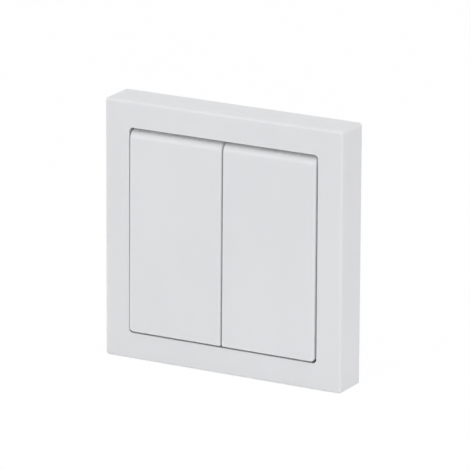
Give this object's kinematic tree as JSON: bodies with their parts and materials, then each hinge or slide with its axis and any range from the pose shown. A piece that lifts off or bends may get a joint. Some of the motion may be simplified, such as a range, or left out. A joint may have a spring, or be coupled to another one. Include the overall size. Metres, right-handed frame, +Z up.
{
  "type": "wireless wall switch",
  "caption": "Square surface-mounted battery radio switch: flat white frame round tall side-by-side rockers that tilt on pins, with a screw-on wall plate behind.",
  "frame": {"origin": "centre of the back face, which lies against the wall", "axes": "+Y into the wall, -Y towards the room, +Z up, +X to the right as seen from the room"},
  "size_m": [0.08, 0.0126, 0.08],
  "materials": {
    "cover_plastic": "satin white moulding",
    "plate_plastic": "matt pale grey moulding",
    "module_plastic": "matt grey moulding",
    "board_laminate": "green solder mask",
    "cell_steel": "bright can",
    "contact_metal": "plated spring sheet",
    "chip_resin": "black resin",
    "ceramic": "fired ceramic",
    "screw_steel": "zinc plated",
    "switch_plastic": "black moulding",
    "plunger_plastic": "natural moulding"
  },
  "bodies": {
    "base": {"frame": "cover_plastic", "mounting_plate": "plate_plastic", "rear_case": "module_plastic", "battery_cover": "module_plastic", "front_carrier": "module_plastic", "circuit_board": "board_laminate", "coin_cell": "cell_steel", "positive_contact": "contact_metal", "negative_contact": "contact_metal", "radio_chip": "chip_resin", "crystal": "cell_steel", "antenna": "ceramic", "capacitors": "ceramic", "case_screws": "screw_steel", "upper_left_switch": "switch_plastic", "lower_left_switch": "switch_plastic", "upper_right_switch": "switch_plastic", "lower_right_switch": "switch_plastic"},
    "left_rocker": {"left_rocker": "cover_plastic"},
    "right_rocker": {"right_rocker": "cover_plastic"},
    "upper_left_plunger": {"upper_left_plunger": "plunger_plastic"},
    "lower_left_plunger": {"lower_left_plunger": "plunger_plastic"},
    "upper_right_plunger": {"upper_right_plunger": "plunger_plastic"},
    "lower_right_plunger": {"lower_right_plunger": "plunger_plastic"}
  },
  "joints": [
    {"name": "left_rocker_tilt", "type": "hinge", "parent": "base", "child": "left_rocker", "pos_m": [-0.01579, -0.00945, 0], "axis": [1, 0, 0], "range_deg": [-1.5, 1.5], "stiffness_Nm_per_rad": 1},
    {"name": "right_rocker_tilt", "type": "hinge", "parent": "base", "child": "right_rocker", "pos_m": [0.01579, -0.00945, 0], "axis": [1, 0, 0], "range_deg": [-1.5, 1.5], "stiffness_Nm_per_rad": 1},
    {"name": "upper_left_plunger_travel", "type": "slide", "parent": "base", "child": "upper_left_plunger", "axis": [0, 1, 0], "range_m": [-0.0003, 0.0003]},
    {"name": "lower_left_plunger_travel", "type": "slide", "parent": "base", "child": "lower_left_plunger", "axis": [0, 1, 0], "range_m": [-0.0003, 0.0003]},
    {"name": "upper_right_plunger_travel", "type": "slide", "parent": "base", "child": "upper_right_plunger", "axis": [0, 1, 0], "range_m": [-0.0003, 0.0003]},
    {"name": "lower_right_plunger_travel", "type": "slide", "parent": "base", "child": "lower_right_plunger", "axis": [0, 1, 0], "range_m": [-0.0003, 0.0003]}
  ],
  "couplings": [
    {"joint": "upper_left_plunger_travel", "follows": "left_rocker_tilt", "m_per_rad": -0.01},
    {"joint": "lower_left_plunger_travel", "follows": "left_rocker_tilt", "m_per_rad": 0.01},
    {"joint": "upper_right_plunger_travel", "follows": "right_rocker_tilt", "m_per_rad": -0.01},
    {"joint": "lower_right_plunger_travel", "follows": "right_rocker_tilt", "m_per_rad": 0.01}
  ]
}
